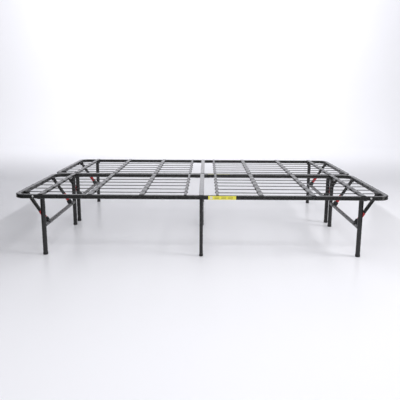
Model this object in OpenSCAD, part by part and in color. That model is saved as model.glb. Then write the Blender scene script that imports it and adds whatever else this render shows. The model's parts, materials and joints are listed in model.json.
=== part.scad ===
// Folding metal platform bed base: two equal units side by side, each hinged at its middle,
// with folding leg frames at both ends and in the middle.
// +X runs towards the foot, +Z is up, and the origin is on the floor under the middle.

/* [Overall] */
// Length from the head end to the foot end
bed_length = 2019; // [1960:1:2100]
// Height of the top of the slats above the floor
bed_height = 350; // [340:1:370]
// Width of each of the two units
unit_width = 750; // [720:1:800]
// Gap between the two units
unit_gap = 11; // [9:1:16]

/* [Rails] */
// Width of the rail tube, seen from above
rail_width = 25; // [24:0.5:28]
// Height of the rail tube
rail_height = 22; // [21:0.5:24]
// Wall of the rail tube
rail_wall = 1; // [0.8:0.1:1.4]
// Outer radius of the frame's corners
corner_radius = 65; // [55:1:80]
// Depth of the groove rolled into the rail's outer face
groove_depth = 3.5; // [1:0.5:4]
// Height of that groove at its mouth
groove_height = 7; // [6:0.5:8]

/* [Slats and wires] */
// Distances of the wide slats from the middle
slat_places = [862, 599, 320];
// Distance of the narrow slat from the middle
narrow_slat_place = 86; // [80:1:100]
// Width of the wide slats
slat_width = 25; // [22:1:28]
// Width of the narrow slat
narrow_slat_width = 14; // [12:1:16]
// Depth of the slat tube
slat_depth = 12; // [11.5:0.5:12.5]
// Wall of the slat tube
slat_wall = 0.8; // [0.7:0.1:1.2]
// Thickness of the flattened slat end that lies on the rail
tab_thickness = 3; // [2.5:0.5:3]
// Diameter of the lengthwise wires
wire_diameter = 4.6; // [4:0.2:5]
// Number of wires in each half
wire_count = 6; // [4:2:6]
// Distance from wire to wire
wire_spacing = 107; // [100:1:110]

/* [Leg frames] */
// Distance of the end legs from the middle
leg_place = 864; // [850:1:870]
// Diameter of the end legs
leg_diameter = 25; // [22:0.5:26]
// Diameter of the middle legs
centre_leg_diameter = 19; // [16:0.5:20]
// Wall of the leg tubes
leg_wall = 1; // [0.8:0.1:1.4]
// Height of the crossbars above the floor
crossbar_height = 162; // [155:1:175]
// Diameter of the crossbars
crossbar_diameter = 22; // [19:0.5:23]
// Height of the foot caps
foot_height = 14; // [10:1:20]

/* [Braces] */
// Distance of the brace pivots from the middle
brace_place = 971; // [968:0.5:972]
// Distance from the unit's outer face to a brace
brace_inset = 132; // [120:1:150]
// Diameter of the brace tube
brace_diameter = 20; // [18:0.5:21]
// Length of the red lock sleeve
lock_length = 46; // [40:1:55]

/* [Middle hinge] */
// Distance of the hinge pins from the middle
hinge_place = 25; // [24.5:0.5:27]
// Width of the middle bar
centre_bar_width = 26; // [22:1:28]

/* [Hidden] */
$fn = 48;
LEFT = -1;
RIGHT = 1;
HEAD = -1;
FOOT = 1;
// Running clearance of a pin in its hole, on the radius
running = 0.05;
// Free space between parts that move past each other
clearance = 0.3;
unit_place = (unit_width + unit_gap) / 2;
half_unit = unit_width / 2;
inner_half = half_unit - rail_width;
// The wire ends stand this far out of the end rail
wire_proud = 1.5;
rail_end = bed_length / 2 - wire_proud;
rail_top = bed_height - tab_thickness;
rail_bottom = rail_top - rail_height;
rail_chamfer = 2;
// The rail stops this far short of the middle, so that its end can swing down
rail_start = 5.5;
corner_x = rail_end - corner_radius;
corner_y = half_unit - corner_radius;
slat_bottom = bed_height - slat_depth;
slat_end = 6;
tab_setback = 3;
wire_radius = wire_diameter / 2;
wire_height = bed_height - 7.6;
wire_start = narrow_slat_place - narrow_slat_width / 2 - 2;
leg_radius = leg_diameter / 2;
crossbar_radius = crossbar_diameter / 2;
plate_thickness = 3;
// Parts of one body are kept this far apart where they don't touch
relief = 1;
// A cutting shape runs this far past the faces it cuts
overcut = 1;
// A moulded part sits on its tube with this much on the radius
press = 0.02;
plate_step = slat_places[0] + slat_width / 2 + relief;
leg_plate_half = 16;
leg_plate_bottom = bed_height - 32.5;
leg_plate_tail = 13;
leg_plate_tail_bottom = bed_height - 22;
leg_plate_top = bed_height - 5;
leg_gap = 9;
leg_y = inner_half - plate_thickness - leg_gap - leg_radius;
leg_pivot_height = bed_height - 26.5;
leg_top = bed_height - 21;
leg_pin_radius = 4;
bush_radius = 6;
foot_floor = 4;
foot_wall = 1.2;
foot_lead = 3;
foot_lip = 2;
foot_taper = 1;
pin_radius = 3;
head_radius = 5;
head_height = 1.5;
head_taper = 1.5;
cap_radius = 7;
cap_height = 2;
cap_taper = 1.5;
rivet_place = 900;
rivet_height = bed_height - 12;
brace_pivot_height = bed_height - 22;
brace_y = half_unit - brace_inset;
brace_radius = brace_diameter / 2;
brace_run = brace_place - leg_place;
brace_rise = brace_pivot_height - crossbar_height;
brace_reach = sqrt(brace_run * brace_run + brace_rise * brace_rise);
brace_tilt = atan2(brace_run, brace_rise);
eye_thickness = 6;
neck_length = 22;
neck_overlap = 6;
neck_inset = 0.5;
clip_radius = crossbar_radius + 3;
clip_reach = 31;
clip_cheek_inset = 2;
// The clip's ring is open below this height, where the tube snaps in
clip_mouth = -4;
clip_slot = brace_diameter + 0.8;
clip_cheek = 3;
clip_width = clip_slot + 2 * clip_cheek;
brace_tip_gap = 1.5;
brace_tip = brace_reach - clip_radius - brace_tip_gap;
lock_wall = 1.5;
lock_radius = brace_radius + lock_wall;
lock_gap = 3;
lock_start = brace_reach - clip_reach - lock_gap - lock_length;
lock_taper_height = 4;
lug_width = 12;
lug_half_height = 9;
lug_slot = 10.5;
hinge_height = bed_height - 11;
hinge_plate_outer = inner_half - clearance;
hinge_plate_inner = hinge_plate_outer - plate_thickness;
hinge_plate_half = 46;
hinge_plate_bottom = rail_bottom + 0.5;
hinge_plate_top = rail_top - 3;
hinge_tab_root = 11;
hinge_tab_tip = 7;
hinge_tab_bottom = bed_height - 30;
centre_leg_radius = centre_leg_diameter / 2;
centre_leg_gap = 0.6;
centre_leg_y = hinge_plate_inner - centre_leg_gap - centre_leg_radius;
centre_pivot_height = bed_height - 24;
centre_leg_top = bed_height - 19;
centre_pin_radius = 3.5;
centre_crossbar_radius = 8;
bolt_head_radius = 6.5;
bolt_head_height = 4;
label_start = 37;
label_length = 148;
label_height = 20;
label_thickness = 0.4;
drain_radius = 5;
lock_taper = 1;
black = [0.05, 0.05, 0.055];
grey = [0.2, 0.2, 0.21];
silver = [0.75, 0.75, 0.76];
red = [0.72, 0.1, 0.12];
yellow = [0.93, 0.87, 0.25];

// Outline of the rail tube, drawn in by the given amount: flat inside, grooved outside
function rail_outline(inset) =
    let (
        near = inset,
        far = rail_width - inset,
        low = inset,
        high = rail_height - inset,
        cut = rail_chamfer - inset * 0.6,
        middle = rail_height / 2,
        mouth = groove_height / 2 + inset * 0.7,
        floor_half = mouth - groove_depth * 0.6
    ) [
        [near + cut, low],
        [far - cut, low],
        [far, low + cut],
        [far, middle - mouth],
        [far - groove_depth, middle - floor_half],
        [far - groove_depth, middle + floor_half],
        [far, middle + mouth],
        [far, high - cut],
        [far - cut, high],
        [near + cut, high],
        [near, high - cut],
        [near, low + cut]
    ];

function wire_row() = [for (i = [0 : wire_count - 1]) (i - (wire_count - 1) / 2) * wire_spacing];

// Puts a piece drawn for the foot half of one unit into its unit and half
module place(unit, half) {
    translate([0, unit * unit_place, 0]) mirror([half < 0 ? 1 : 0, 0, 0]) children();
}

// The same thing on both sides of a unit, mirrored
module both_sides() {
    children();
    mirror([0, 1, 0]) children();
}

// A cylinder along Y, from one y to another
module rod_y(x, z, y_from, y_to, radius) {
    translate([x, y_from, z]) rotate([-90, 0, 0]) cylinder(r = radius, h = y_to - y_from);
}

// A cylinder along X, from one x to another
module rod_x(y, z, x_from, x_to, radius) {
    translate([x_from, y, z]) rotate([0, 90, 0]) cylinder(r = radius, h = x_to - x_from);
}

// A rivet head on +Y, tapering away from its seat
module head_out(x, y, z) {
    translate([x, y, z]) rotate([-90, 0, 0])
        cylinder(r1 = head_radius, r2 = head_radius - head_taper, h = head_height);
}

// A rivet head on -Y
module head_in(x, y, z) {
    translate([x, y, z]) rotate([90, 0, 0])
        cylinder(r1 = head_radius, r2 = head_radius - head_taper, h = head_height);
}

// Wide head that keeps a leg on its pin, on -Y
module pin_cap(x, y, z) {
    translate([x, y, z]) rotate([90, 0, 0])
        cylinder(r1 = cap_radius, r2 = cap_radius - cap_taper, h = cap_height);
}

// A flat plate in the XZ plane whose +Y face is at the given y
module plate_y(y, thickness) {
    translate([0, y, 0]) rotate([90, 0, 0]) linear_extrude(thickness) children();
}

module rail_section() {
    difference() {
        polygon(rail_outline(0));
        polygon(rail_outline(rail_wall));
    }
}

// Bent tube round three sides of a half
module rail() {
    color(black) difference() {
        union() {
            both_sides() translate([rail_start, inner_half, rail_bottom])
                rotate([90, 0, 90]) linear_extrude(corner_x - rail_start) rail_section();
            both_sides() translate([corner_x, corner_y, rail_bottom])
                rotate_extrude(angle = 90, $fn = 96)
                    translate([corner_radius - rail_width, 0]) rail_section();
            translate([rail_end - rail_width, corner_y, rail_bottom])
                rotate([90, 0, 0]) linear_extrude(2 * corner_y) rail_section();
        }
        both_sides() rod_y(hinge_place, hinge_height, inner_half - overcut, half_unit + overcut,
            pin_radius + running);
        both_sides() rod_y(rivet_place, rivet_height, inner_half - overcut, half_unit + overcut,
            pin_radius + running);
        for (y = wire_row())
            rod_x(y, wire_height, rail_end - rail_width - overcut, rail_end + overcut,
                wire_radius + running);
    }
}

// Flat tube across a half, with its ends pressed to tabs that lie on the rails
module slat(x, width) {
    cavity = width - 2 * slat_wall;
    difference() {
        union() {
            translate([x - width / 2, -inner_half, slat_bottom])
                cube([width, 2 * inner_half, slat_depth]);
            translate([x - width / 2, -(half_unit - tab_setback), rail_top])
                cube([width, 2 * (half_unit - tab_setback), tab_thickness]);
        }
        translate([x - cavity / 2, -inner_half - overcut, slat_bottom + slat_wall])
            cube([cavity, 2 * (inner_half + overcut), slat_depth - slat_wall - tab_thickness]);
        translate([x - cavity / 2, -inner_half + slat_end, slat_bottom + slat_wall])
            cube([cavity, 2 * (inner_half - slat_end), slat_depth - 2 * slat_wall]);
        for (y = wire_row())
            rod_x(y, wire_height, x - width, x + width, wire_radius + running);
    }
}

module slats() {
    color(grey) {
        for (x = slat_places) slat(x, slat_width);
        slat(narrow_slat_place, narrow_slat_width);
    }
}

module wires() {
    color(grey) for (y = wire_row())
        rod_x(y, wire_height, wire_start, rail_end + wire_proud, wire_radius);
}

// Plates inside the side rails that the end legs swing on
module leg_plates() {
    color(black) both_sides() plate_y(inner_half, plate_thickness) difference() {
        polygon([
            [leg_place - leg_plate_half, leg_plate_bottom],
            [leg_place + leg_plate_half, leg_plate_bottom],
            [rivet_place + leg_plate_tail, leg_plate_tail_bottom],
            [rivet_place + leg_plate_tail, leg_plate_top],
            [plate_step, leg_plate_top],
            [plate_step, slat_bottom - relief],
            [leg_place - leg_plate_half, slat_bottom - relief]
        ]);
        translate([leg_place, leg_pivot_height]) circle(r = leg_pin_radius + running);
        translate([rivet_place, rivet_height]) circle(r = pin_radius + running);
    }
}

// Forked lugs on the end rail that the braces swing on
module brace_lugs() {
    color(black) both_sides() translate([0, brace_y, 0]) difference() {
        translate([brace_place - lug_half_height, -lug_width / 2, brace_pivot_height - lug_half_height])
            cube([rail_end - rail_width - brace_place + lug_half_height, lug_width, 2 * lug_half_height]);
        translate([
            brace_place - lug_half_height - overcut,
            -eye_thickness / 2 - clearance,
            brace_pivot_height - lug_half_height - overcut
        ])
            cube([
                lug_half_height + overcut + lug_slot,
                eye_thickness + 2 * clearance,
                2 * (lug_half_height + overcut)
            ]);
        rod_y(brace_place, brace_pivot_height, -lug_width, lug_width, pin_radius + running);
    }
}

// Rivets of the leg plates, the shouldered pins of the legs and the pins of the braces
module pins() {
    color(silver) both_sides() {
        rod_y(rivet_place, rivet_height, inner_half - plate_thickness, half_unit, pin_radius);
        head_out(rivet_place, half_unit, rivet_height);
        head_in(rivet_place, inner_half - plate_thickness, rivet_height);
        rod_y(leg_place, leg_pivot_height, leg_y - leg_radius - relief, inner_half, leg_pin_radius);
        rod_y(leg_place, leg_pivot_height, leg_y + leg_radius + clearance,
            inner_half - plate_thickness, bush_radius);
        pin_cap(leg_place, leg_y - leg_radius - relief, leg_pivot_height);
        rod_y(brace_place, brace_pivot_height, brace_y - lug_width / 2, brace_y + lug_width / 2,
            pin_radius);
        head_out(brace_place, brace_y + lug_width / 2, brace_pivot_height);
        head_in(brace_place, brace_y - lug_width / 2, brace_pivot_height);
    }
}

// Plain printed sticker on the unit's left side rail
module label() {
    color(yellow) translate([label_start, -half_unit - label_thickness, rail_bottom + relief])
        cube([label_length, label_thickness, label_height]);
}

module legs() {
    color(black) both_sides() difference() {
        translate([leg_place, leg_y, foot_floor])
            cylinder(r = leg_radius, h = leg_top - foot_floor);
        translate([leg_place, leg_y, foot_floor - overcut])
            cylinder(r = leg_radius - leg_wall, h = leg_top - foot_floor + 2 * overcut);
        rod_y(leg_place, leg_pivot_height, leg_y - leg_diameter, leg_y + leg_diameter,
            leg_pin_radius + running);
    }
}

// Tube between two legs, its ends shaped to the legs
module cross_tube(x, y_reach, tube_radius, post_radius) {
    difference() {
        rod_y(x, crossbar_height, -y_reach, y_reach, tube_radius);
        rod_y(x, crossbar_height, -y_reach - overcut, y_reach + overcut, tube_radius - leg_wall);
        both_sides() translate([x, y_reach, 0]) cylinder(r = post_radius, h = bed_height);
    }
}

module crossbar() {
    color(black) cross_tube(leg_place, leg_y, crossbar_radius, leg_radius);
}

// Moulded cap over a leg's lower end
module foot_cap(x, y, tube_radius) {
    cap_outer = tube_radius + foot_wall;
    translate([x, y, 0]) difference() {
        union() {
            cylinder(r1 = cap_outer - foot_taper, r2 = cap_outer, h = foot_lead);
            translate([0, 0, foot_lead]) cylinder(r = cap_outer, h = foot_height - foot_lead - foot_lip);
            translate([0, 0, foot_height - foot_lip])
                cylinder(r1 = cap_outer, r2 = cap_outer - foot_taper, h = foot_lip);
        }
        translate([0, 0, foot_floor]) cylinder(r = tube_radius, h = foot_height);
    }
}

module feet() {
    color(black) both_sides() foot_cap(leg_place, leg_y, leg_radius);
}

// Moulded clip on the crossbar, whose fork takes the end of the brace
module clips() {
    color(black) both_sides() translate([leg_place, brace_y, crossbar_height]) rotate([0, brace_tilt, 0])
        difference() {
            union() {
                rod_y(0, 0, -clip_width / 2, clip_width / 2, clip_radius);
                translate([-clip_radius + clip_cheek_inset, -clip_width / 2, 0])
                    cube([2 * (clip_radius - clip_cheek_inset), clip_width, clip_reach]);
            }
            rod_y(0, 0, -clip_width, clip_width, crossbar_radius + press);
            translate([-clip_radius - overcut, -clip_slot / 2, clip_radius - relief])
                cube([2 * (clip_radius + overcut), clip_slot, clip_reach]);
            translate([-clip_radius - overcut, -clip_width, -clip_radius - overcut])
                cube([2 * (clip_radius + overcut), 2 * clip_width, clip_radius + overcut + clip_mouth]);
        }
}

// Brace tube with a flattened eye at its upper end
module braces() {
    color(black) both_sides() translate([brace_place, brace_y, brace_pivot_height])
        rotate([0, brace_tilt, 0]) difference() {
            union() {
                rod_y(0, 0, -eye_thickness / 2, eye_thickness / 2, brace_radius);
                translate([-brace_radius + neck_inset, -eye_thickness / 2, -neck_length - neck_overlap])
                    cube([2 * (brace_radius - neck_inset), eye_thickness, neck_length + neck_overlap]);
                translate([0, 0, -brace_tip]) cylinder(r = brace_radius, h = brace_tip - neck_length);
            }
            rod_y(0, 0, -eye_thickness, eye_thickness, pin_radius + running);
            translate([0, 0, -brace_tip - overcut])
                cylinder(r = brace_radius - leg_wall, h = brace_tip - neck_length - 2 * overcut);
        }
}

// Lock sleeve over the lower end of the brace
module locks() {
    color(red) both_sides() translate([brace_place, brace_y, brace_pivot_height])
        rotate([0, brace_tilt, 0]) translate([0, 0, -lock_start - lock_length]) difference() {
            union() {
                cylinder(r1 = lock_radius - lock_taper, r2 = lock_radius, h = lock_taper_height);
                translate([0, 0, lock_taper_height])
                    cylinder(r = lock_radius, h = lock_length - 2 * lock_taper_height);
                translate([0, 0, lock_length - lock_taper_height])
                    cylinder(r1 = lock_radius, r2 = lock_radius - lock_taper, h = lock_taper_height);
            }
            translate([0, 0, -overcut]) cylinder(r = brace_radius + press, h = lock_length + 2 * overcut);
        }
}

// Wide flat bar across the middle of a unit, with tabs over the gap in the rails
module centre_bar() {
    cavity = centre_bar_width - 2 * slat_wall;
    color(grey) difference() {
        union() {
            translate([-centre_bar_width / 2, -hinge_plate_inner, slat_bottom])
                cube([centre_bar_width, 2 * hinge_plate_inner, slat_depth]);
            translate([-centre_bar_width / 2, -(half_unit - tab_setback), rail_top + clearance])
                cube([centre_bar_width, 2 * (half_unit - tab_setback), tab_thickness - clearance]);
        }
        translate([-cavity / 2, -hinge_plate_inner + slat_end, slat_bottom + slat_wall])
            cube([cavity, 2 * (hinge_plate_inner - slat_end), slat_depth - 2 * slat_wall]);
        translate([0, 0, slat_bottom - overcut]) cylinder(r = drain_radius, h = slat_wall + 2 * overcut);
    }
}

// Plates inside the rails that both halves and the middle legs swing on
module unit_hinge_plates() {
    both_sides() plate_y(hinge_plate_outer, plate_thickness) difference() {
        polygon([
            [-hinge_plate_half, hinge_plate_bottom], [-hinge_tab_root, hinge_plate_bottom],
            [-hinge_tab_tip, hinge_tab_bottom], [hinge_tab_tip, hinge_tab_bottom],
            [hinge_tab_root, hinge_plate_bottom], [hinge_plate_half, hinge_plate_bottom],
            [hinge_plate_half, hinge_plate_top], [-hinge_plate_half, hinge_plate_top]
        ]);
        for (x = [-hinge_place, hinge_place])
            translate([x, hinge_height]) circle(r = pin_radius + running);
        translate([0, centre_pivot_height]) circle(r = centre_pin_radius + running);
    }
}

module hinge_plates() {
    color(black) for (unit = [LEFT, RIGHT]) translate([0, unit * unit_place, 0]) unit_hinge_plates();
}

// Rivets of the middle hinges of one unit
module hinge_rivets() {
    both_sides() for (x = [-hinge_place, hinge_place]) {
        rod_y(x, hinge_height, hinge_plate_inner, half_unit + clearance, pin_radius);
        head_out(x, half_unit + clearance, hinge_height);
        head_in(x, hinge_plate_inner, hinge_height);
    }
}

// Pin of the outer middle leg of one unit
module centre_leg_pin() {
    pin_end = centre_leg_y - centre_leg_radius - relief;
    rod_y(0, centre_pivot_height, pin_end, hinge_plate_outer, centre_pin_radius);
    pin_cap(0, pin_end, centre_pivot_height);
}

module hinge_pins() {
    color(silver) for (unit = [LEFT, RIGHT]) translate([0, unit * unit_place, 0]) {
        hinge_rivets();
        mirror([0, unit < 0 ? 1 : 0, 0]) centre_leg_pin();
    }
}

// Long bolt through both inner hinge plates, which joins the units and carries their inner middle legs
module joining_bolt() {
    reach = unit_place - centre_leg_y + centre_leg_radius + relief;
    color(silver) {
        rod_y(0, centre_pivot_height, -reach, reach, centre_pin_radius);
        for (end = [-reach - bolt_head_height, reach])
            translate([0, end, centre_pivot_height]) rotate([-90, 0, 0])
                cylinder(r = bolt_head_radius, h = bolt_head_height, $fn = 6);
    }
}

module centre_legs() {
    color(black) {
        both_sides() difference() {
            translate([0, centre_leg_y, foot_floor])
                cylinder(r = centre_leg_radius, h = centre_leg_top - foot_floor);
            translate([0, centre_leg_y, foot_floor - overcut])
                cylinder(r = centre_leg_radius - leg_wall, h = centre_leg_top - foot_floor + 2 * overcut);
            rod_y(0, centre_pivot_height, centre_leg_y - centre_leg_diameter,
                centre_leg_y + centre_leg_diameter, centre_pin_radius + running);
        }
        cross_tube(0, centre_leg_y, centre_crossbar_radius, centre_leg_radius);
    }
}

module centre_feet() {
    color(black) both_sides() foot_cap(0, centre_leg_y, centre_leg_radius);
}

place(LEFT, FOOT) centre_bar();  // left_centre_bar
place(RIGHT, FOOT) centre_bar();  // right_centre_bar
hinge_plates();
hinge_pins();
joining_bolt();
place(LEFT, HEAD) rail();  // left_head_rail
place(LEFT, FOOT) rail();  // left_foot_rail
place(RIGHT, HEAD) rail();  // right_head_rail
place(RIGHT, FOOT) rail();  // right_foot_rail
place(LEFT, HEAD) slats();  // left_head_slats
place(LEFT, FOOT) slats();  // left_foot_slats
place(RIGHT, HEAD) slats();  // right_head_slats
place(RIGHT, FOOT) slats();  // right_foot_slats
place(LEFT, HEAD) wires();  // left_head_wires
place(LEFT, FOOT) wires();  // left_foot_wires
place(RIGHT, HEAD) wires();  // right_head_wires
place(RIGHT, FOOT) wires();  // right_foot_wires
place(LEFT, HEAD) leg_plates();  // left_head_leg_plates
place(LEFT, FOOT) leg_plates();  // left_foot_leg_plates
place(RIGHT, HEAD) leg_plates();  // right_head_leg_plates
place(RIGHT, FOOT) leg_plates();  // right_foot_leg_plates
place(LEFT, HEAD) brace_lugs();  // left_head_brace_lugs
place(LEFT, FOOT) brace_lugs();  // left_foot_brace_lugs
place(RIGHT, HEAD) brace_lugs();  // right_head_brace_lugs
place(RIGHT, FOOT) brace_lugs();  // right_foot_brace_lugs
place(LEFT, HEAD) pins();  // left_head_pins
place(LEFT, FOOT) pins();  // left_foot_pins
place(RIGHT, HEAD) pins();  // right_head_pins
place(RIGHT, FOOT) pins();  // right_foot_pins
place(LEFT, FOOT) label();  // left_label
place(RIGHT, FOOT) label();  // right_label
place(LEFT, HEAD) legs();  // left_head_legs
place(LEFT, FOOT) legs();  // left_foot_legs
place(RIGHT, HEAD) legs();  // right_head_legs
place(RIGHT, FOOT) legs();  // right_foot_legs
place(LEFT, HEAD) crossbar();  // left_head_crossbar
place(LEFT, FOOT) crossbar();  // left_foot_crossbar
place(RIGHT, HEAD) crossbar();  // right_head_crossbar
place(RIGHT, FOOT) crossbar();  // right_foot_crossbar
place(LEFT, HEAD) feet();  // left_head_feet
place(LEFT, FOOT) feet();  // left_foot_feet
place(RIGHT, HEAD) feet();  // right_head_feet
place(RIGHT, FOOT) feet();  // right_foot_feet
place(LEFT, HEAD) clips();  // left_head_clips
place(LEFT, FOOT) clips();  // left_foot_clips
place(RIGHT, HEAD) clips();  // right_head_clips
place(RIGHT, FOOT) clips();  // right_foot_clips
place(LEFT, HEAD) braces();  // left_head_braces
place(LEFT, FOOT) braces();  // left_foot_braces
place(RIGHT, HEAD) braces();  // right_head_braces
place(RIGHT, FOOT) braces();  // right_foot_braces
place(LEFT, HEAD) locks();  // left_head_locks
place(LEFT, FOOT) locks();  // left_foot_locks
place(RIGHT, HEAD) locks();  // right_head_locks
place(RIGHT, FOOT) locks();  // right_foot_locks
place(LEFT, FOOT) centre_legs();  // left_centre_legs
place(RIGHT, FOOT) centre_legs();  // right_centre_legs
place(LEFT, FOOT) centre_feet();  // left_centre_feet
place(RIGHT, FOOT) centre_feet();  // right_centre_feet
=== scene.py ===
import json
import math

import bmesh
import bpy
from mathutils import Matrix, Vector


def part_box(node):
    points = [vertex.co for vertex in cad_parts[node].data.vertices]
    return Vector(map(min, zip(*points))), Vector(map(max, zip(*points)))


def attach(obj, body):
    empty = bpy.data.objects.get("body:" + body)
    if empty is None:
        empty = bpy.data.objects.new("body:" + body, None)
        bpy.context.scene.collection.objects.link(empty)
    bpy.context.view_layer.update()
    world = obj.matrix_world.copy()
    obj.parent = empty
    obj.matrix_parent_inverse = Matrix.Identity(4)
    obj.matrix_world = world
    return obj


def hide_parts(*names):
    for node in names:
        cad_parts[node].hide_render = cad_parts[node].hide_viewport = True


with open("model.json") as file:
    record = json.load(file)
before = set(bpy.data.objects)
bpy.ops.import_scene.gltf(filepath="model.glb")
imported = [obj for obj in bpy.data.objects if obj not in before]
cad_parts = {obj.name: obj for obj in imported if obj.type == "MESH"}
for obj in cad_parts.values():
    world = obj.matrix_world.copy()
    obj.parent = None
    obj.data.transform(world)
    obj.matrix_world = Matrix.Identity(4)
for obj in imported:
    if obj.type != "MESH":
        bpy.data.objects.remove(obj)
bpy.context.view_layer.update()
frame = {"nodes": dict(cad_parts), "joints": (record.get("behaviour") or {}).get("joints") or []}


# Camera: it stands in front of the left unit, a little above the deck, and looks down at it.
# The lens is a little longer than normal, and the camera leans a quarter of a degree.
camera_data = bpy.data.cameras.new("camera")
camera_data.sensor_width = 36.0
camera_data.lens = 45.3
camera = bpy.data.objects.new("camera", camera_data)
bpy.context.scene.collection.objects.link(camera)
turn_left = Matrix.Rotation(math.radians(0.67), 4, "Z")
look_down = Matrix.Rotation(math.radians(90 - 11.78), 4, "X")
lean = Matrix.Rotation(math.radians(0.25), 4, "Z")
stand = Matrix.Translation((0.0239, -3.375, 0.870))
camera.matrix_world = stand @ turn_left @ look_down @ lean
bpy.context.scene.camera = camera
bpy.context.scene.view_settings.view_transform = "Standard"


# Studio: a pale seamless sweep, floor and wall in one, with a faint sheen underfoot.
# It is painted board, rolled up behind the bed in a wide curve.
def verts_of(geom):
    return [g for g in geom if isinstance(g, bmesh.types.BMVert)]


def edges_of(geom):
    return [g for g in geom if isinstance(g, bmesh.types.BMEdge)]


sweep_half_width = 9.0
sweep_front = -2.4
sweep_back = 5.0
sweep_radius = 2.5
sweep_height = 7.0
bm = bmesh.new()
front_edge = [bm.verts.new((x, sweep_front, 0)) for x in (-sweep_half_width, sweep_half_width)]
edge = bm.edges.new(front_edge)
step = bmesh.ops.extrude_edge_only(bm, edges=[edge])["geom"]
bmesh.ops.translate(bm, vec=(0, sweep_back - sweep_front, 0), verts=verts_of(step))
edge = edges_of(step)
step = bmesh.ops.spin(
    bm, geom=edge + [v for e in edge for v in e.verts], cent=(0, sweep_back, sweep_radius),
    axis=(1, 0, 0), dvec=(0, 0, 0), angle=math.radians(90), steps=24, use_duplicate=False,
)["geom_last"]
step = bmesh.ops.extrude_edge_only(bm, edges=edges_of(step))["geom"]
bmesh.ops.translate(bm, vec=(0, 0, sweep_height), verts=verts_of(step))
bmesh.ops.remove_doubles(bm, verts=bm.verts, dist=0.0001)
bmesh.ops.recalc_face_normals(bm, faces=bm.faces)
sweep_mesh = bpy.data.meshes.new("studio_sweep")
bm.to_mesh(sweep_mesh)
bm.free()
sweep_mesh.polygons.foreach_set("use_smooth", [True] * len(sweep_mesh.polygons))
sweep = bpy.data.objects.new("studio_sweep", sweep_mesh)
bpy.context.scene.collection.objects.link(sweep)

board = bpy.data.materials.new("studio_board")
board.use_nodes = True
board_paint = board.node_tree.nodes["Principled BSDF"]
board_paint.inputs["Base Color"].default_value = (0.79, 0.79, 0.83, 1)
board_paint.inputs["Roughness"].default_value = 0.30
board_paint.inputs["Specular IOR Level"].default_value = 0.15
sweep_mesh.materials.append(board)

room = bpy.data.worlds.new("room_light")
bpy.context.scene.world = room
room.use_nodes = True
room.node_tree.nodes["Background"].inputs["Color"].default_value = (0.97, 0.98, 1.0, 1)
room.node_tree.nodes["Background"].inputs["Strength"].default_value = 0.28


# Lamps: a big soft box overhead, a second one from the right that pushes the shadows left,
# a wash on the wall behind, and a small one on the floor in front.
def soft_box(name, place, aim, width, depth, power, tint):
    lamp = bpy.data.lights.new(name, "AREA")
    lamp.shape = "RECTANGLE"
    lamp.size = width
    lamp.size_y = depth
    lamp.energy = power
    lamp.color = tint
    box = bpy.data.objects.new(name, lamp)
    bpy.context.scene.collection.objects.link(box)
    box.location = place
    box.rotation_euler = (Vector(aim) - Vector(place)).to_track_quat("-Z", "Y").to_euler()


soft_box("overhead_box", (0.4, 0.2, 3.6), (0.2, 0.1, 0), 4.0, 3.0, 52, (1, 1, 1))
soft_box("right_box", (3.8, -1.4, 2.4), (0.4, 0, 0.2), 1.4, 1.4, 105, (1, 0.99, 0.98))
soft_box("wall_wash", (-0.2, 3.4, 3.8), (-0.2, 7.4, 2.2), 9.0, 1.0, 330, (1, 1, 1))
soft_box("front_wash", (0, -2.5, 2.4), (0, -2.0, 0), 2.8, 0.6, 34, (1, 1, 1))

# Black boards stand at both ends of the bed and darken the outer sides of its legs.
felt = bpy.data.materials.new("black_felt")
felt.use_nodes = True
felt.node_tree.nodes["Principled BSDF"].inputs["Base Color"].default_value = (0.004, 0.004, 0.004, 1)
felt.node_tree.nodes["Principled BSDF"].inputs["Roughness"].default_value = 1
flag_distance = 1.45
flag_height = 0.36
flag_width = 2.4
for flag_side in (-1, 1):
    bm = bmesh.new()
    bmesh.ops.create_grid(bm, x_segments=1, y_segments=1, size=0.5)
    bmesh.ops.transform(
        bm, verts=bm.verts,
        matrix=Matrix.Translation((flag_side * flag_distance, -0.3, 0.2))
        @ Matrix.Rotation(math.radians(90), 4, "Y") @ Matrix.Diagonal((flag_height, flag_width, 1, 1)),
    )
    flag_mesh = bpy.data.meshes.new("black_board")
    bm.to_mesh(flag_mesh)
    bm.free()
    flag = bpy.data.objects.new("black_board", flag_mesh)
    bpy.context.scene.collection.objects.link(flag)
    flag.visible_camera = False
    flag.visible_diffuse = False
    flag.visible_shadow = False
    flag.visible_transmission = False
    flag_mesh.materials.append(felt)


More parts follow.
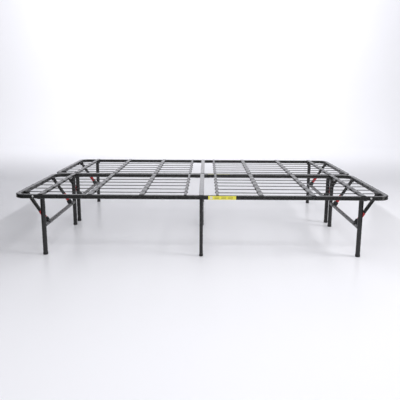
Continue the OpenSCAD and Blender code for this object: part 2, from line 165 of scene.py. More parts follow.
# Rails: a bent steel tube round three sides of each half, open-ended at the middle.
# A groove is rolled into its outer face, and it is powder coated black after welding.
def powder_coat(name, shade, roughness, grain, shine):
    coat = bpy.data.materials.new(name)
    coat.use_nodes = True
    nodes, links = coat.node_tree.nodes, coat.node_tree.links
    shader = nodes["Principled BSDF"]
    shader.inputs["IOR"].default_value = 1.5
    shader.inputs["Specular IOR Level"].default_value = shine
    place = nodes.new("ShaderNodeTexCoord")

    patches = nodes.new("ShaderNodeTexNoise")
    patches.inputs["Scale"].default_value = 9
    patches.inputs["Detail"].default_value = 3
    tone = nodes.new("ShaderNodeValToRGB")
    tone.color_ramp.elements[0].position = 0.35
    tone.color_ramp.elements[0].color = (shade * 0.8, shade * 0.8, shade * 0.84, 1)
    tone.color_ramp.elements[1].position = 0.65
    tone.color_ramp.elements[1].color = (shade * 1.2, shade * 1.2, shade * 1.24, 1)

    rubbed = nodes.new("ShaderNodeTexNoise")
    rubbed.inputs["Scale"].default_value = 40
    rubbed.inputs["Detail"].default_value = 4
    gloss = nodes.new("ShaderNodeMapRange")
    gloss.inputs["From Min"].default_value = 0.3
    gloss.inputs["From Max"].default_value = 0.7
    gloss.inputs["To Min"].default_value = roughness - 0.04
    gloss.inputs["To Max"].default_value = roughness + 0.05

    peel = nodes.new("ShaderNodeTexNoise")
    peel.inputs["Scale"].default_value = 700
    peel.inputs["Detail"].default_value = 2
    bump = nodes.new("ShaderNodeBump")
    bump.inputs["Strength"].default_value = grain
    bump.inputs["Distance"].default_value = 0.0002

    for noise in (patches, rubbed, peel):
        links.new(place.outputs["Object"], noise.inputs["Vector"])
    links.new(patches.outputs["Fac"], tone.inputs["Fac"])
    links.new(tone.outputs["Color"], shader.inputs["Base Color"])
    links.new(rubbed.outputs["Fac"], gloss.inputs["Value"])
    links.new(gloss.outputs["Result"], shader.inputs["Roughness"])
    links.new(peel.outputs["Fac"], bump.inputs["Height"])
    links.new(bump.outputs["Normal"], shader.inputs["Normal"])
    return coat


def make_piece(bm, name, material, body, nodes, sharp=35):
    bmesh.ops.remove_doubles(bm, verts=bm.verts, dist=0.00001)
    bmesh.ops.recalc_face_normals(bm, faces=bm.faces)
    mesh = bpy.data.meshes.new(name)
    bm.to_mesh(mesh)
    bm.free()
    mesh.polygons.foreach_set("use_smooth", [True] * len(mesh.polygons))
    mesh.set_sharp_from_angle(angle=math.radians(sharp))
    mesh.materials.append(material)
    piece = bpy.data.objects.new(name, mesh)
    bpy.context.scene.collection.objects.link(piece)
    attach(piece, body)
    if nodes:
        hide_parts(*nodes)
    return piece


rail_low, rail_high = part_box("left_foot_rail")
rail_start, rail_end = rail_low.x, rail_high.x
unit_middle = (rail_low.y + rail_high.y) / 2
half_unit = (rail_high.y - rail_low.y) / 2
rail_bottom, rail_top = rail_low.z, rail_high.z
rail_middle = (rail_bottom + rail_top) / 2
rail_width = 0.025
inner_half = half_unit - rail_width
corner_radius = 0.065
tube_wall = 0.0010
tube_rounding = 0.0042
groove_mouth = 0.0036
groove_floor = 0.0015
groove_depth = 0.0034
groove_rounding = 0.0006
bore_shown = 0.03

UNITS = (("left", unit_middle), ("right", -unit_middle))
HALVES = (("head", -1), ("foot", 1))

frame_coat = powder_coat("frame_powder_coat", 0.006, 0.27, 0.25, 0.6)


def put_in_place(bm, middle, way):
    """Moves what was drawn for the foot half of a unit standing at y = 0 into its own half and unit."""
    bmesh.ops.scale(bm, vec=(way, 1, 1), verts=bm.verts)
    bmesh.ops.translate(bm, vec=(0, middle, 0), verts=bm.verts)


def rail_section(bm):
    corners = [
        (-inner_half, rail_bottom), (-half_unit, rail_bottom),
        (-half_unit, rail_middle - groove_mouth), (-half_unit + groove_depth, rail_middle - groove_floor),
        (-half_unit + groove_depth, rail_middle + groove_floor), (-half_unit, rail_middle + groove_mouth),
        (-half_unit, rail_top), (-inner_half, rail_top),
    ]
    ring = [bm.verts.new((rail_start, y, z)) for y, z in corners]
    bm.faces.new(ring)
    outer = [ring[0], ring[1], ring[6], ring[7]]
    bmesh.ops.bevel(
        bm, geom=outer, affect="VERTICES", offset=tube_rounding, offset_type="OFFSET",
        segments=4, profile=0.5, material=-1, clamp_overlap=True,
    )
    face = bm.faces[:][0]
    lips = [v for v in face.verts if abs(v.co.z - rail_middle) < groove_mouth + 0.0001]
    bmesh.ops.bevel(
        bm, geom=lips, affect="VERTICES", offset=groove_rounding, offset_type="OFFSET",
        segments=2, profile=0.5, material=-1, clamp_overlap=True,
    )
    face = bm.faces[:][0]
    rim = list(face.edges)
    bmesh.ops.delete(bm, geom=[face], context="FACES_ONLY")
    return rim


def run_straight(bm, rim, step):
    grown = bmesh.ops.extrude_edge_only(bm, edges=rim)["geom"]
    bmesh.ops.translate(bm, vec=step, verts=verts_of(grown))
    return edges_of(grown)


def bend(bm, rim, centre):
    ends = bmesh.ops.spin(
        bm, geom=rim + list({v for e in rim for v in e.verts}), cent=centre, axis=(0, 0, 1),
        dvec=(0, 0, 0), angle=math.radians(90), steps=16, use_duplicate=False,
    )["geom_last"]
    return edges_of(ends)


straight = rail_end - corner_radius - rail_start
across = 2 * (half_unit - corner_radius)
for unit, middle in UNITS:
    for half, way in HALVES:
        bm = bmesh.new()
        start_rim = rail_section(bm)
        rim = run_straight(bm, start_rim, (straight, 0, 0))
        rim = bend(bm, rim, (rail_end - corner_radius, -half_unit + corner_radius, 0))
        rim = run_straight(bm, rim, (0, across, 0))
        rim = bend(bm, rim, (rail_end - corner_radius, half_unit - corner_radius, 0))
        end_rim = run_straight(bm, rim, (-straight, 0, 0))
        for open_rim in (start_rim, end_rim):
            lid = bmesh.ops.edgenet_fill(bm, edges=open_rim)["faces"]
            bmesh.ops.inset_region(bm, faces=lid, thickness=tube_wall, use_even_offset=True)
            sunk = bmesh.ops.extrude_discrete_faces(bm, faces=lid)["faces"]
            bmesh.ops.translate(bm, vec=(bore_shown, 0, 0), verts=list({v for f in sunk for v in f.verts}))
        put_in_place(bm, middle, way)
        name = f"{unit}_{half}"
        make_piece(bm, f"{name}_rail_tube", frame_coat, f"{name}_deck", [f"{name}_rail"])


# Slats: flat steel tubes across each half, their ends pressed to tabs that lie on the rails.
# The tops mirror the room at a low angle, and their reflection is turned down in a band along each wire, a
# painted shade where the wires cross them.
wire_gap = 0.107
first_wire = abs(unit_middle) - 2.5 * wire_gap
slat_coat = powder_coat("slat_powder_coat", 0.010, 0.24, 0.12, 0.35)
nodes, links = slat_coat.node_tree.nodes, slat_coat.node_tree.links
where = nodes.new("ShaderNodeTexCoord")
split = nodes.new("ShaderNodeSeparateXYZ")
links.new(where.outputs["Object"], split.inputs["Vector"])
step = split.outputs["Y"]
# Distance from the nearest wire line, used for the painted shade bands along the wires.
for operation, amount in (
    ("ABSOLUTE", 0), ("SUBTRACT", first_wire), ("DIVIDE", wire_gap), ("ADD", 0.5), ("FRACT", 0),
    ("SUBTRACT", 0.5), ("ABSOLUTE", 0),
):
    sum_node = nodes.new("ShaderNodeMath")
    sum_node.operation = operation
    links.new(step, sum_node.inputs[0])
    if operation in ("SUBTRACT", "DIVIDE", "ADD"):
        sum_node.inputs[1].default_value = amount
    step = sum_node.outputs["Value"]
# Painted shade: specular is lowest on each wire line and rises away from it, so the slat tops look darker
# where the wires cross.
wire_crossing_shade = nodes.new("ShaderNodeMapRange")
wire_crossing_shade.inputs["From Min"].default_value = 0.13
wire_crossing_shade.inputs["From Max"].default_value = 0.26
wire_crossing_shade.inputs["To Min"].default_value = 0.05
wire_crossing_shade.inputs["To Max"].default_value = 0.38
links.new(step, wire_crossing_shade.inputs["Value"])
links.new(wire_crossing_shade.outputs["Result"], nodes["Principled BSDF"].inputs["Specular IOR Level"])
slat_low, slat_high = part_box("left_foot_slats")
deck_top = slat_high.z
slat_bottom = slat_low.z
tab_end = (slat_high.y - slat_low.y) / 2
slat_width = 0.025
narrow_slat_width = 0.014
slat_shoulder = inner_half - 0.016
slat_press = inner_half - 0.002
third_slat = 0.599
second_slat = 0.320
slat_rows = (
    (slat_high.x - slat_width / 2, slat_width),
    (third_slat, slat_width),
    (second_slat, slat_width),
    (slat_low.x + narrow_slat_width / 2, narrow_slat_width),
)


def flat_bar(bm, x, width, shoulder, press, tab_half, low, tab_low):
    """A flat tube lying along y whose two ends are pressed down to thin tabs."""
    made = bmesh.ops.create_cube(bm, size=1)["verts"]
    bmesh.ops.scale(bm, vec=(width, 2 * shoulder, deck_top - low), verts=made)
    bmesh.ops.translate(bm, vec=(x, 0, (deck_top + low) / 2), verts=made)
    faces = list({f for v in made for f in v.link_faces})
    for side in (-1, 1):
        end = [f for f in faces if f.is_valid and f.normal.y * side > 0.9]
        for y, z in ((press, tab_low), (tab_half, tab_low)):
            grown = bmesh.ops.extrude_face_region(bm, geom=end)["geom"]
            bmesh.ops.delete(bm, geom=end, context="FACES_ONLY")
            end = [g for g in grown if isinstance(g, bmesh.types.BMFace)]
            made += verts_of(grown)
            for v in verts_of(grown):
                v.co.y = side * y
                if v.co.z < deck_top - 0.001:
                    v.co.z = z
    edges = {e for v in made for e in v.link_edges}
    long_edges = [e for e in edges if abs(e.verts[0].co.y - e.verts[1].co.y) > 0.004]
    bmesh.ops.bevel(
        bm, geom=long_edges, affect="EDGES", offset=0.0011, offset_type="OFFSET",
        segments=3, profile=0.5, material=-1, clamp_overlap=True,
    )


for unit, middle in UNITS:
    for half, way in HALVES:
        bm = bmesh.new()
        for x, width in slat_rows:
            flat_bar(bm, x, width, slat_shoulder, slat_press, tab_end, slat_bottom, rail_top)
        put_in_place(bm, middle, way)
        name = f"{unit}_{half}"
        make_piece(bm, f"{name}_slat_set", slat_coat, f"{name}_deck", [f"{name}_slats"])


# Wires: drawn steel rod, threaded lengthwise through the slats and the end rail.
# The ends are upset outside the rail, and each crossing has a dab of weld on both sides.
def turned(bm, profile, where, steps=20):
    """Spins a profile of (radius, height) points once round and puts the result where it belongs."""
    points = [bm.verts.new((radius, 0, height)) for radius, height in profile]
    line = [bm.edges.new(pair) for pair in zip(points, points[1:])]
    old = set(bm.verts) - set(points)
    bmesh.ops.spin(
        bm, geom=points + line, cent=(0, 0, 0), axis=(0, 0, 1), dvec=(0, 0, 0),
        angle=math.radians(360), steps=steps, use_merge=True, use_duplicate=False,
    )
    new = [v for v in bm.verts if v not in old]
    bmesh.ops.remove_doubles(bm, verts=new, dist=0.00001)
    new = [v for v in bm.verts if v not in old]
    bmesh.ops.transform(bm, matrix=where, verts=new)


along_x = Matrix.Rotation(math.radians(90), 4, "Y")
along_y = Matrix.Rotation(math.radians(-90), 4, "X")
against_y = Matrix.Rotation(math.radians(90), 4, "X")

wire_low, wire_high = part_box("left_foot_wires")
wire_radius = 0.0023
wire_height = (wire_low.z + wire_high.z) / 2
wire_outer = (wire_high.y - wire_low.y) / 2 - wire_radius
wire_count = 6
wire_rows = [wire_outer * (2 * i / (wire_count - 1) - 1) for i in range(wire_count)]
wire_length = wire_high.x - wire_low.x
wire_coat = powder_coat("wire_powder_coat", 0.016, 0.24, 0.15, 0.6)
weld_coat = powder_coat("weld_powder_coat", 0.004, 0.70, 0.6, 0.1)

wire_end_break = 0.0007
wire_stub = wire_length - 0.002
rod = [
    (0, 0), (wire_radius - wire_end_break, 0), (wire_radius, wire_end_break),
    (wire_radius, wire_stub), (0, wire_stub),
]
button = [(0.0047, 0), (0.0046, 0.0007), (0.0034, 0.0013), (0, 0.0015)]
slat_dab = (0.0042, 0.0110, 0.0040)
rail_dab = (0.003, 0.0042, 0.0036)


def weld_dab(bm, place, size):
    dab = bmesh.ops.create_uvsphere(bm, u_segments=8, v_segments=6, radius=1)["verts"]
    bmesh.ops.scale(bm, vec=size, verts=dab)
    bmesh.ops.translate(bm, vec=place, verts=dab)


for unit, middle in UNITS:
    for half, way in HALVES:
        name = f"{unit}_{half}"
        bm = bmesh.new()
        for y in wire_rows:
            turned(bm, rod, Matrix.Translation((wire_low.x, y, wire_height)) @ along_x, 14)
        put_in_place(bm, middle, way)
        make_piece(bm, f"{name}_wire_set", wire_coat, f"{name}_deck", [f"{name}_wires"], 50)

        bm = bmesh.new()
        for y in wire_rows:
            for x, width in slat_rows:
                for side in (-1, 1):
                    dab_x = x + side * (width / 2 + 0.0005)
                    weld_dab(bm, (dab_x, y, wire_height + 0.0012), slat_dab)
            turned(bm, button, Matrix.Translation((rail_end, y, wire_height)) @ along_x, 12)
            weld_dab(bm, (rail_end - rail_width, y, wire_height), rail_dab)
        put_in_place(bm, middle, way)
        make_piece(bm, f"{name}_welds", weld_coat, f"{name}_deck", [], 60)


# Centre bars: a wide flat tube across the middle of each unit, welded to the hinge plates.
# Its tabs cover the gap where the two halves meet.
bar_coat = powder_coat("bar_powder_coat", 0.014, 0.20, 0.12, 0.75)
bar_low, bar_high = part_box("left_centre_bar")
bar_half = (bar_high.y - bar_low.y) / 2
bar_shoulder = inner_half - 0.019
bar_press = inner_half - 0.0045
bar_lift = 0.0003
for unit, middle in UNITS:
    bm = bmesh.new()
    flat_bar(
        bm, 0, bar_high.x - bar_low.x, bar_shoulder, bar_press, bar_half,
        bar_low.z, rail_top + bar_lift,
    )
    put_in_place(bm, middle, 1)
    make_piece(bm, f"{unit}_middle_bar", bar_coat, "centre_frame", [f"{unit}_centre_bar"])


# Pressed and moulded small parts: leg plates, brace lugs and hinge plates are cut from 3 mm
# steel, the clips are moulded nylon. Each keeps its drawn shape, with its edges broken.
def break_edges(node, name, material, body, edge):
    source = frame["nodes"][node].data
    bm = bmesh.new()
    bm.from_mesh(source)
    bmesh.ops.remove_doubles(bm, verts=bm.verts, dist=0.00002)
    bmesh.ops.dissolve_limit(bm, angle_limit=math.radians(2), verts=bm.verts, edges=bm.edges)
    hard = [e for e in bm.edges if len(e.link_faces) == 2 and e.calc_face_angle(0) > math.radians(35)]
    bmesh.ops.bevel(
        bm, geom=hard, affect="EDGES", offset=edge, offset_type="OFFSET", segments=2,
        profile=0.5, material=-1, clamp_overlap=True,
    )
    return make_piece(bm, name, material, body, [node])


def moulded(name, shade, roughness, grain):
    plastic = bpy.data.materials.new(name)
    plastic.use_nodes = True
    nodes, links = plastic.node_tree.nodes, plastic.node_tree.links
    shader = nodes["Principled BSDF"]
    place = nodes.new("ShaderNodeTexCoord")
    cloud = nodes.new("ShaderNodeTexNoise")
    cloud.inputs["Scale"].default_value = 60
    tone = nodes.new("ShaderNodeValToRGB")
    tone.color_ramp.elements[0].position = 0.3
    tone.color_ramp.elements[0].color = tuple(c * 0.85 for c in shade) + (1,)
    tone.color_ramp.elements[1].position = 0.7
    tone.color_ramp.elements[1].color = tuple(min(1, c * 1.12) for c in shade) + (1,)
    spark = nodes.new("ShaderNodeTexVoronoi")
    spark.inputs["Scale"].default_value = 1400
    bump = nodes.new("ShaderNodeBump")
    bump.inputs["Strength"].default_value = grain
    bump.inputs["Distance"].default_value = 0.0001
    links.new(place.outputs["Object"], cloud.inputs["Vector"])
    links.new(place.outputs["Object"], spark.inputs["Vector"])
    links.new(cloud.outputs["Fac"], tone.inputs["Fac"])
    links.new(tone.outputs["Color"], shader.inputs["Base Color"])
    links.new(spark.outputs["Distance"], bump.inputs["Height"])
    links.new(bump.outputs["Normal"], shader.inputs["Normal"])
    shader.inputs["Roughness"].default_value = roughness
    return plastic


clip_plastic = moulded("clip_plastic", (0.016, 0.016, 0.018), 0.45, 0.3)
for unit, middle in UNITS:
    for half, way in HALVES:
        name = f"{unit}_{half}"
        deck = f"{name}_deck"
        leg_frame = f"{name}_leg_frame"
        break_edges(f"{name}_leg_plates", f"{name}_pivot_plates", frame_coat, deck, 0.0005)
        break_edges(f"{name}_brace_lugs", f"{name}_forked_lugs", frame_coat, deck, 0.0004)
        break_edges(f"{name}_clips", f"{name}_bar_clips", clip_plastic, leg_frame, 0.0008)
break_edges("hinge_plates", "middle_plates", frame_coat, "centre_frame", 0.0005)


# Legs: round tube, cut square and deburred, painted with the rest.
# The crossbar is a thinner tube let into both legs, with a weld round each end.
leg_low, leg_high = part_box("left_foot_legs")
leg_radius = (leg_high.x - leg_low.x) / 2
leg_x = (leg_high.x + leg_low.x) / 2
leg_y = (leg_high.y - leg_low.y) / 2 - leg_radius
bar_box_low, bar_box_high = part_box("left_foot_crossbar")
crossbar_radius = (bar_box_high.z - bar_box_low.z) / 2
crossbar_height = (bar_box_high.z + bar_box_low.z) / 2


def tube(bm, radius, length, where, steps=32):
    lip = 0.0003
    profile = [
        (radius - tube_wall, 0), (radius - lip, 0), (radius, lip), (radius, length - lip),
        (radius - lip, length), (radius - tube_wall, length), (radius - tube_wall, 0),
    ]
    turned(bm, profile, where, steps)


bead_sink = 0.0005


def weld_ring(bm, radius, where):
    bead = [
        (radius - bead_sink, -0.002), (radius + 0.0016, -0.001), (radius + 0.0012, 0.0012),
        (radius - bead_sink, 0.0026),
    ]
    turned(bm, bead, where, 24)


def leg_frame_pieces(
    name, middle, way, x, y, radius, top, low, bar_radius, bar_height, body, nodes, bar_nodes
):
    bm = bmesh.new()
    for side in (-1, 1):
        tube(bm, radius, top - low, Matrix.Translation((x, side * y, low)))
    put_in_place(bm, middle, way)
    make_piece(bm, f"{name}_leg_tubes", frame_coat, body, nodes)
    bm = bmesh.new()
    reach = y - radius + 0.003
    tube(bm, bar_radius, 2 * reach, Matrix.Translation((x, -reach, bar_height)) @ along_y, 28)
    for side, facing in ((-1, along_y), (1, against_y)):
        leg_face = side * (y - radius + bead_sink)
        weld_ring(bm, bar_radius, Matrix.Translation((x, leg_face, bar_height)) @ facing)
    put_in_place(bm, middle, way)
    make_piece(bm, f"{name}_cross_tube", frame_coat, body, bar_nodes)


for unit, middle in UNITS:
    for half, way in HALVES:
        name = f"{unit}_{half}"
        leg_frame_pieces(
            name, middle, way, leg_x, leg_y, leg_radius, leg_high.z, leg_low.z, crossbar_radius,
            crossbar_height, f"{name}_leg_frame", [f"{name}_legs"], [f"{name}_crossbar"],
        )


# Middle legs: a thinner leg frame under the hinge of each unit.
# It is one weldment, swung on a pin in the outer hinge plate and the bolt in the inner one.
mid_low, mid_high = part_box("left_centre_legs")
mid_radius = (mid_high.x - mid_low.x) / 2
mid_y = (mid_high.y - mid_low.y) / 2 - mid_radius
mid_bar_radius = 0.008
for unit, middle in UNITS:
    leg_frame_pieces(
        f"{unit}_middle", middle, 1, 0, mid_y, mid_radius, mid_high.z, mid_low.z, mid_bar_radius,
        crossbar_height, f"{unit}_centre_leg_frame", [f"{unit}_centre_legs"], [],
    )


# Foot caps: soft black moulded caps, pushed over the lower end of every leg.
# A rolled lip at the top and a rounded heel keep them from marking the floor.
cap_plastic = moulded("cap_plastic", (0.014, 0.014, 0.015), 0.55, 0.4)


def foot_cap(bm, x, y, radius, tube_radius, height):
    profile = [
        (0, 0), (radius - 0.0022, 0), (radius - 0.0008, 0.0007), (radius, 0.0024),
        (radius - 0.0003, height - 0.0055), (radius, height - 0.004), (radius, height - 0.0012),
        (radius - 0.0007, height), (tube_radius, height), (tube_radius, 0.004), (0, 0.004),
    ]
    turned(bm, profile, Matrix.Translation((x, y, 0)), 32)


cap_low, cap_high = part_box("left_foot_feet")
cap_radius = (cap_high.x - cap_low.x) / 2
mid_cap_low, mid_cap_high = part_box("left_centre_feet")
mid_cap_radius = (mid_cap_high.x - mid_cap_low.x) / 2
for unit, middle in UNITS:
    for half, way in HALVES:
        bm = bmesh.new()
        for side in (-1, 1):
            foot_cap(bm, leg_x, side * leg_y, cap_radius, leg_radius, cap_high.z)
        put_in_place(bm, middle, way)
        name = f"{unit}_{half}"
        leg_frame = f"{name}_leg_frame"
        make_piece(bm, f"{name}_foot_caps", cap_plastic, leg_frame, [f"{name}_feet"])
    bm = bmesh.new()
    for side in (-1, 1):
        foot_cap(bm, 0, side * mid_y, mid_cap_radius, mid_radius, mid_cap_high.z)
    put_in_place(bm, middle, 1)
    make_piece(
        bm, f"{unit}_middle_foot_caps", cap_plastic, f"{unit}_centre_leg_frame",
        [f"{unit}_centre_feet"],
    )


# Braces: round tube from the end rail down to the crossbar, its upper end pressed flat
# to an eye that swings on a pin in the forked lug.
def pivot_of(joint_name):
    joint = next(j for j in frame["joints"] if j["name"] == joint_name)
    return joint["pos_m"][0], joint["pos_m"][2]


brace_x, brace_z = pivot_of("left_foot_brace_swing")
brace_low, brace_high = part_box("left_foot_braces")
brace_radius = 0.010
brace_y = (brace_high.y - brace_low.y) / 2 - brace_radius
brace_drop = brace_z - crossbar_height
brace_run = brace_x - leg_x
brace_tilt = Matrix.Rotation(math.atan2(brace_run, brace_drop), 4, "Y")
brace_reach = math.hypot(brace_run, brace_drop)
brace_tip_gap = 0.0045
brace_tip = brace_reach - crossbar_radius - brace_tip_gap
eye_half = 0.0029


def brace_tube(bm, side):
    old = set(bm.verts)
    made = bmesh.ops.create_circle(bm, cap_ends=False, radius=brace_radius, segments=24)["verts"]
    rim = list({e for v in made for e in v.link_edges})
    bmesh.ops.translate(bm, vec=(0, 0, -brace_tip), verts=made)
    floor = bmesh.ops.edgenet_fill(bm, edges=rim)["faces"]
    bmesh.ops.inset_region(bm, faces=floor, thickness=tube_wall, use_even_offset=True)
    sunk = bmesh.ops.extrude_discrete_faces(bm, faces=floor)["faces"]
    bmesh.ops.translate(bm, vec=(0, 0, 0.02), verts=list({v for f in sunk for v in f.verts}))
    flat = eye_half / brace_radius
    rings = (
        (-0.034, 1.0, 1.0), (-0.026, 1.01, 0.72), (-0.018, 1.02, flat), (0.0, 1.0, flat),
        (0.005, 0.87, flat), (0.0081, 0.58, flat), (0.0098, 0.22, flat * 0.8),
    )
    height = -brace_tip
    wide, thick = 1.0, 1.0
    for place, next_wide, next_thick in rings:
        grown = bmesh.ops.extrude_edge_only(bm, edges=rim)["geom"]
        rim = edges_of(grown)
        ring = verts_of(grown)
        bmesh.ops.translate(bm, vec=(0, 0, place - height), verts=ring)
        bmesh.ops.scale(bm, vec=(next_wide / wide, next_thick / thick, 1), verts=ring)
        height, wide, thick = place, next_wide, next_thick
    bmesh.ops.edgenet_fill(bm, edges=rim)
    hang = Matrix.Translation((brace_x, side * brace_y, brace_z)) @ brace_tilt
    bmesh.ops.transform(bm, matrix=hang, verts=[v for v in bm.verts if v not in old])


for unit, middle in UNITS:
    for half, way in HALVES:
        name = f"{unit}_{half}"
        bm = bmesh.new()
        for side in (-1, 1):
            brace_tube(bm, side)
        put_in_place(bm, middle, way)
        brace_pair = f"{name}_brace_pair"
        make_piece(bm, f"{name}_brace_tubes", frame_coat, brace_pair, [f"{name}_braces"])


# Lock sleeves: moulded red plastic sleeves that snap over the lower end of each brace.
# They have finger ribs all round.
lock_plastic = moulded("lock_plastic", (0.47, 0.016, 0.022), 0.32, 0.2)
lock_length = 0.046
clip_reach = 0.031
lock_gap = 0.003
lock_top = brace_reach - clip_reach - lock_gap - lock_length
lock_radius = brace_radius + 0.0015
rib_depth = 0.0009
rib_step = 0.0048


def lock_profile():
    foot = -lock_top - lock_length
    head = -lock_top
    bore = brace_radius + 0.0001
    points = [(bore, foot), (lock_radius - 0.001, foot), (lock_radius, foot + 0.001)]
    rib = foot + 0.008
    while rib < head - 0.010:
        points += [
            (lock_radius, rib), (lock_radius - rib_depth, rib + 0.0008),
            (lock_radius - rib_depth, rib + 0.0018), (lock_radius, rib + 0.0026),
        ]
        rib += rib_step
    points += [(lock_radius, head - 0.001), (lock_radius - 0.001, head), (bore, head), (bore, foot)]
    return points


for unit, middle in UNITS:
    for half, way in HALVES:
        name = f"{unit}_{half}"
        bm = bmesh.new()
        for side in (-1, 1):
            hang = Matrix.Translation((brace_x, side * brace_y, brace_z)) @ brace_tilt
            turned(bm, lock_profile(), hang, 28)
        put_in_place(bm, middle, way)
        brace_pair = f"{name}_brace_pair"
        make_piece(bm, f"{name}_lock_sleeves", lock_plastic, brace_pair, [f"{name}_locks"])


# Rivets and pins: steel, with a domed head set on each side of the joint. The rivets of the
# leg plates are zinc plated and bright outside, and the rest are blackened.
def plated_steel(name, shade, roughness):
    metal = bpy.data.materials.new(name)
    metal.use_nodes = True
    nodes, links = metal.node_tree.nodes, metal.node_tree.links
    shader = nodes["Principled BSDF"]
    shader.inputs["Metallic"].default_value = 1
    place = nodes.new("ShaderNodeTexCoord")
    haze = nodes.new("ShaderNodeTexNoise")
    haze.inputs["Scale"].default_value = 220
    haze.inputs["Detail"].default_value = 5
    tone = nodes.new("ShaderNodeValToRGB")
    tone.color_ramp.elements[0].color = (shade * 0.8, shade * 0.8, shade * 0.82, 1)
    tone.color_ramp.elements[1].color = (shade, shade, shade * 0.98, 1)
    gloss = nodes.new("ShaderNodeMapRange")
    gloss.inputs["To Min"].default_value = roughness
    gloss.inputs["To Max"].default_value = roughness + 0.15
    links.new(place.outputs["Object"], haze.inputs["Vector"])
    links.new(haze.outputs["Fac"], tone.inputs["Fac"])
    links.new(tone.outputs["Color"], shader.inputs["Base Color"])
    links.new(haze.outputs["Fac"], gloss.inputs["Value"])
    links.new(gloss.outputs["Result"], shader.inputs["Roughness"])
    return metal


rivet_steel = plated_steel("rivet_steel", 0.80, 0.30)
black_steel = plated_steel("blackened_steel", 0.06, 0.35)
pin_radius = 0.003
leg_pin_radius = 0.004
mid_pin_radius = 0.0035
bush_radius = 0.006
head_radius = 0.005
head_height = 0.0015
plate = 0.003
bush_gap = 0.0003
dome = [
    (0, 0), (head_radius, 0), (head_radius, 0.0003), (head_radius * 0.85, 0.0009),
    (head_radius * 0.5, 0.0014), (0, head_height),
]


def pin(bm, x, z, y_from, y_to, radius):
    shank = [(0, 0), (radius, 0), (radius, y_to - y_from), (0, y_to - y_from)]
    turned(bm, shank, Matrix.Translation((x, y_from, z)) @ along_y)


def head(bm, x, y, z, facing, scale=1.0):
    profile = [(radius * scale, height) for radius, height in dome]
    turned(bm, profile, Matrix.Translation((x, y, z)) @ facing, 24)


def mirror_across(bm):
    copy = bmesh.ops.duplicate(bm, geom=bm.verts[:] + bm.edges[:] + bm.faces[:])["geom"]
    bmesh.ops.scale(bm, vec=(1, -1, 1), verts=verts_of(copy))


rivet_x = 0.900
rivet_z = deck_top - 0.012
past_leg = 0.001
lug_half = 0.006
wide_head = 1.33
leg_pivot_z = pivot_of("left_foot_leg_fold")[1]
leg_pin_end = leg_y - leg_radius - past_leg
for unit, middle in UNITS:
    for half, way in HALVES:
        name = f"{unit}_{half}"
        bm = bmesh.new()
        pin(bm, rivet_x, rivet_z, inner_half - plate, half_unit, pin_radius)
        head(bm, rivet_x, half_unit, rivet_z, along_y)
        mirror_across(bm)
        put_in_place(bm, middle, way)
        make_piece(bm, f"{name}_rivets", rivet_steel, f"{name}_deck", [f"{name}_pins"], 40)

        bm = bmesh.new()
        head(bm, rivet_x, inner_half - plate, rivet_z, against_y)
        pin(bm, leg_x, leg_pivot_z, leg_pin_end, inner_half, leg_pin_radius)
        pin(bm, leg_x, leg_pivot_z, leg_y + leg_radius + bush_gap, inner_half - plate, bush_radius)
        head(bm, leg_x, leg_pin_end, leg_pivot_z, against_y, wide_head)
        pin(bm, brace_x, brace_z, brace_y - lug_half, brace_y + lug_half, pin_radius)
        head(bm, brace_x, brace_y + lug_half, brace_z, along_y)
        head(bm, brace_x, brace_y - lug_half, brace_z, against_y)
        mirror_across(bm)
        put_in_place(bm, middle, way)
        make_piece(bm, f"{name}_swing_pins", black_steel, f"{name}_deck", [], 40)

hinge_x, hinge_z = pivot_of("left_foot_fold")
mid_pivot_z = pivot_of("left_centre_leg_fold")[1]
mid_pin_end = mid_y - mid_radius - past_leg
seat = 0.0003
plate_face = inner_half - seat - plate
bm = bmesh.new()
for unit, middle in UNITS:
    for side in (-1, 1):
        level = bmesh.new()
        for x in (-hinge_x, hinge_x):
            pin(level, x, hinge_z, plate_face, half_unit + seat, pin_radius)
            head(level, x, half_unit + seat, hinge_z, along_y)
            head(level, x, plate_face, hinge_z, against_y)
        if side * middle > 0:
            pin(level, 0, mid_pivot_z, mid_pin_end, inner_half - seat, mid_pin_radius)
            head(level, 0, mid_pin_end, mid_pivot_z, against_y, wide_head)
        bmesh.ops.scale(level, vec=(1, side, 1), verts=level.verts)
        bmesh.ops.translate(level, vec=(0, middle, 0), verts=level.verts)
        part = bpy.data.meshes.new("pin_level")
        level.to_mesh(part)
        level.free()
        bm.from_mesh(part)
        bpy.data.meshes.remove(part)
make_piece(bm, "middle_hinge_rivets", black_steel, "centre_frame", ["hinge_pins"], 40)
break_edges("joining_bolt", "unit_joining_bolt", black_steel, "centre_frame", 0.0004)


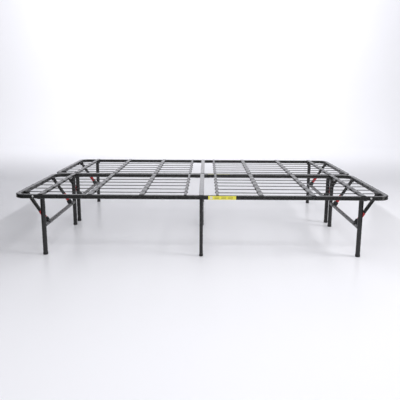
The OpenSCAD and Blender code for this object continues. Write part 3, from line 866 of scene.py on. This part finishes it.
# Labels: a printed film on the left rail of each unit, plain yellow with a pale patch
# and two rows of plain dark bars.
def printed_film(name, shade):
    film = bpy.data.materials.new(name)
    film.use_nodes = True
    nodes, links = film.node_tree.nodes, film.node_tree.links
    shader = nodes["Principled BSDF"]
    place = nodes.new("ShaderNodeTexCoord")
    ink = nodes.new("ShaderNodeTexNoise")
    ink.inputs["Scale"].default_value = 130
    tone = nodes.new("ShaderNodeValToRGB")
    tone.color_ramp.elements[0].color = tuple(c * 0.92 for c in shade) + (1,)
    tone.color_ramp.elements[1].color = tuple(min(1, c * 1.04) for c in shade) + (1,)
    links.new(place.outputs["Object"], ink.inputs["Vector"])
    links.new(ink.outputs["Fac"], tone.inputs["Fac"])
    links.new(tone.outputs["Color"], shader.inputs["Base Color"])
    shader.inputs["Roughness"].default_value = 0.35
    return film


yellow_film = printed_film("yellow_film", (0.93, 0.85, 0.10))
pale_film = printed_film("pale_film", (0.78, 0.77, 0.70))
dark_film = printed_film("dark_film", (0.05, 0.05, 0.05))
label_low, label_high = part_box("left_label")
label_face = label_low.y - unit_middle


def patch(bm, x, z, width, height, proud, index):
    made = bmesh.ops.create_cube(bm, size=1)["verts"]
    back = -half_unit
    bmesh.ops.scale(bm, vec=(width, back - label_face - proud, height), verts=made)
    bmesh.ops.translate(bm, vec=(x, (back + label_face + proud) / 2, z), verts=made)
    for face in {f for v in made for f in v.link_faces}:
        face.material_index = index


label_x = (label_low.x + label_high.x) / 2
label_z = (label_low.z + label_high.z) / 2
label_width = label_high.x - label_low.x
label_height = label_high.z - label_low.z
for unit, middle in UNITS:
    bm = bmesh.new()
    patch(bm, label_x, label_z, label_width, label_height, 0.00012, 0)
    patch(bm, label_low.x + 0.016, label_z, 0.014, 0.014, 0.00006, 1)
    for z in (label_z + 0.0042, label_z - 0.0042):
        for i in range(3):
            patch(bm, label_low.x + 0.046 + 0.036 * i, z, 0.026, 0.0022, 0.00006, 2)
    put_in_place(bm, middle, 1)
    deck = f"{unit}_foot_deck"
    sticker = make_piece(bm, f"{unit}_sticker", yellow_film, deck, [f"{unit}_label"])
    sticker.data.materials.append(pale_film)
    sticker.data.materials.append(dark_film)
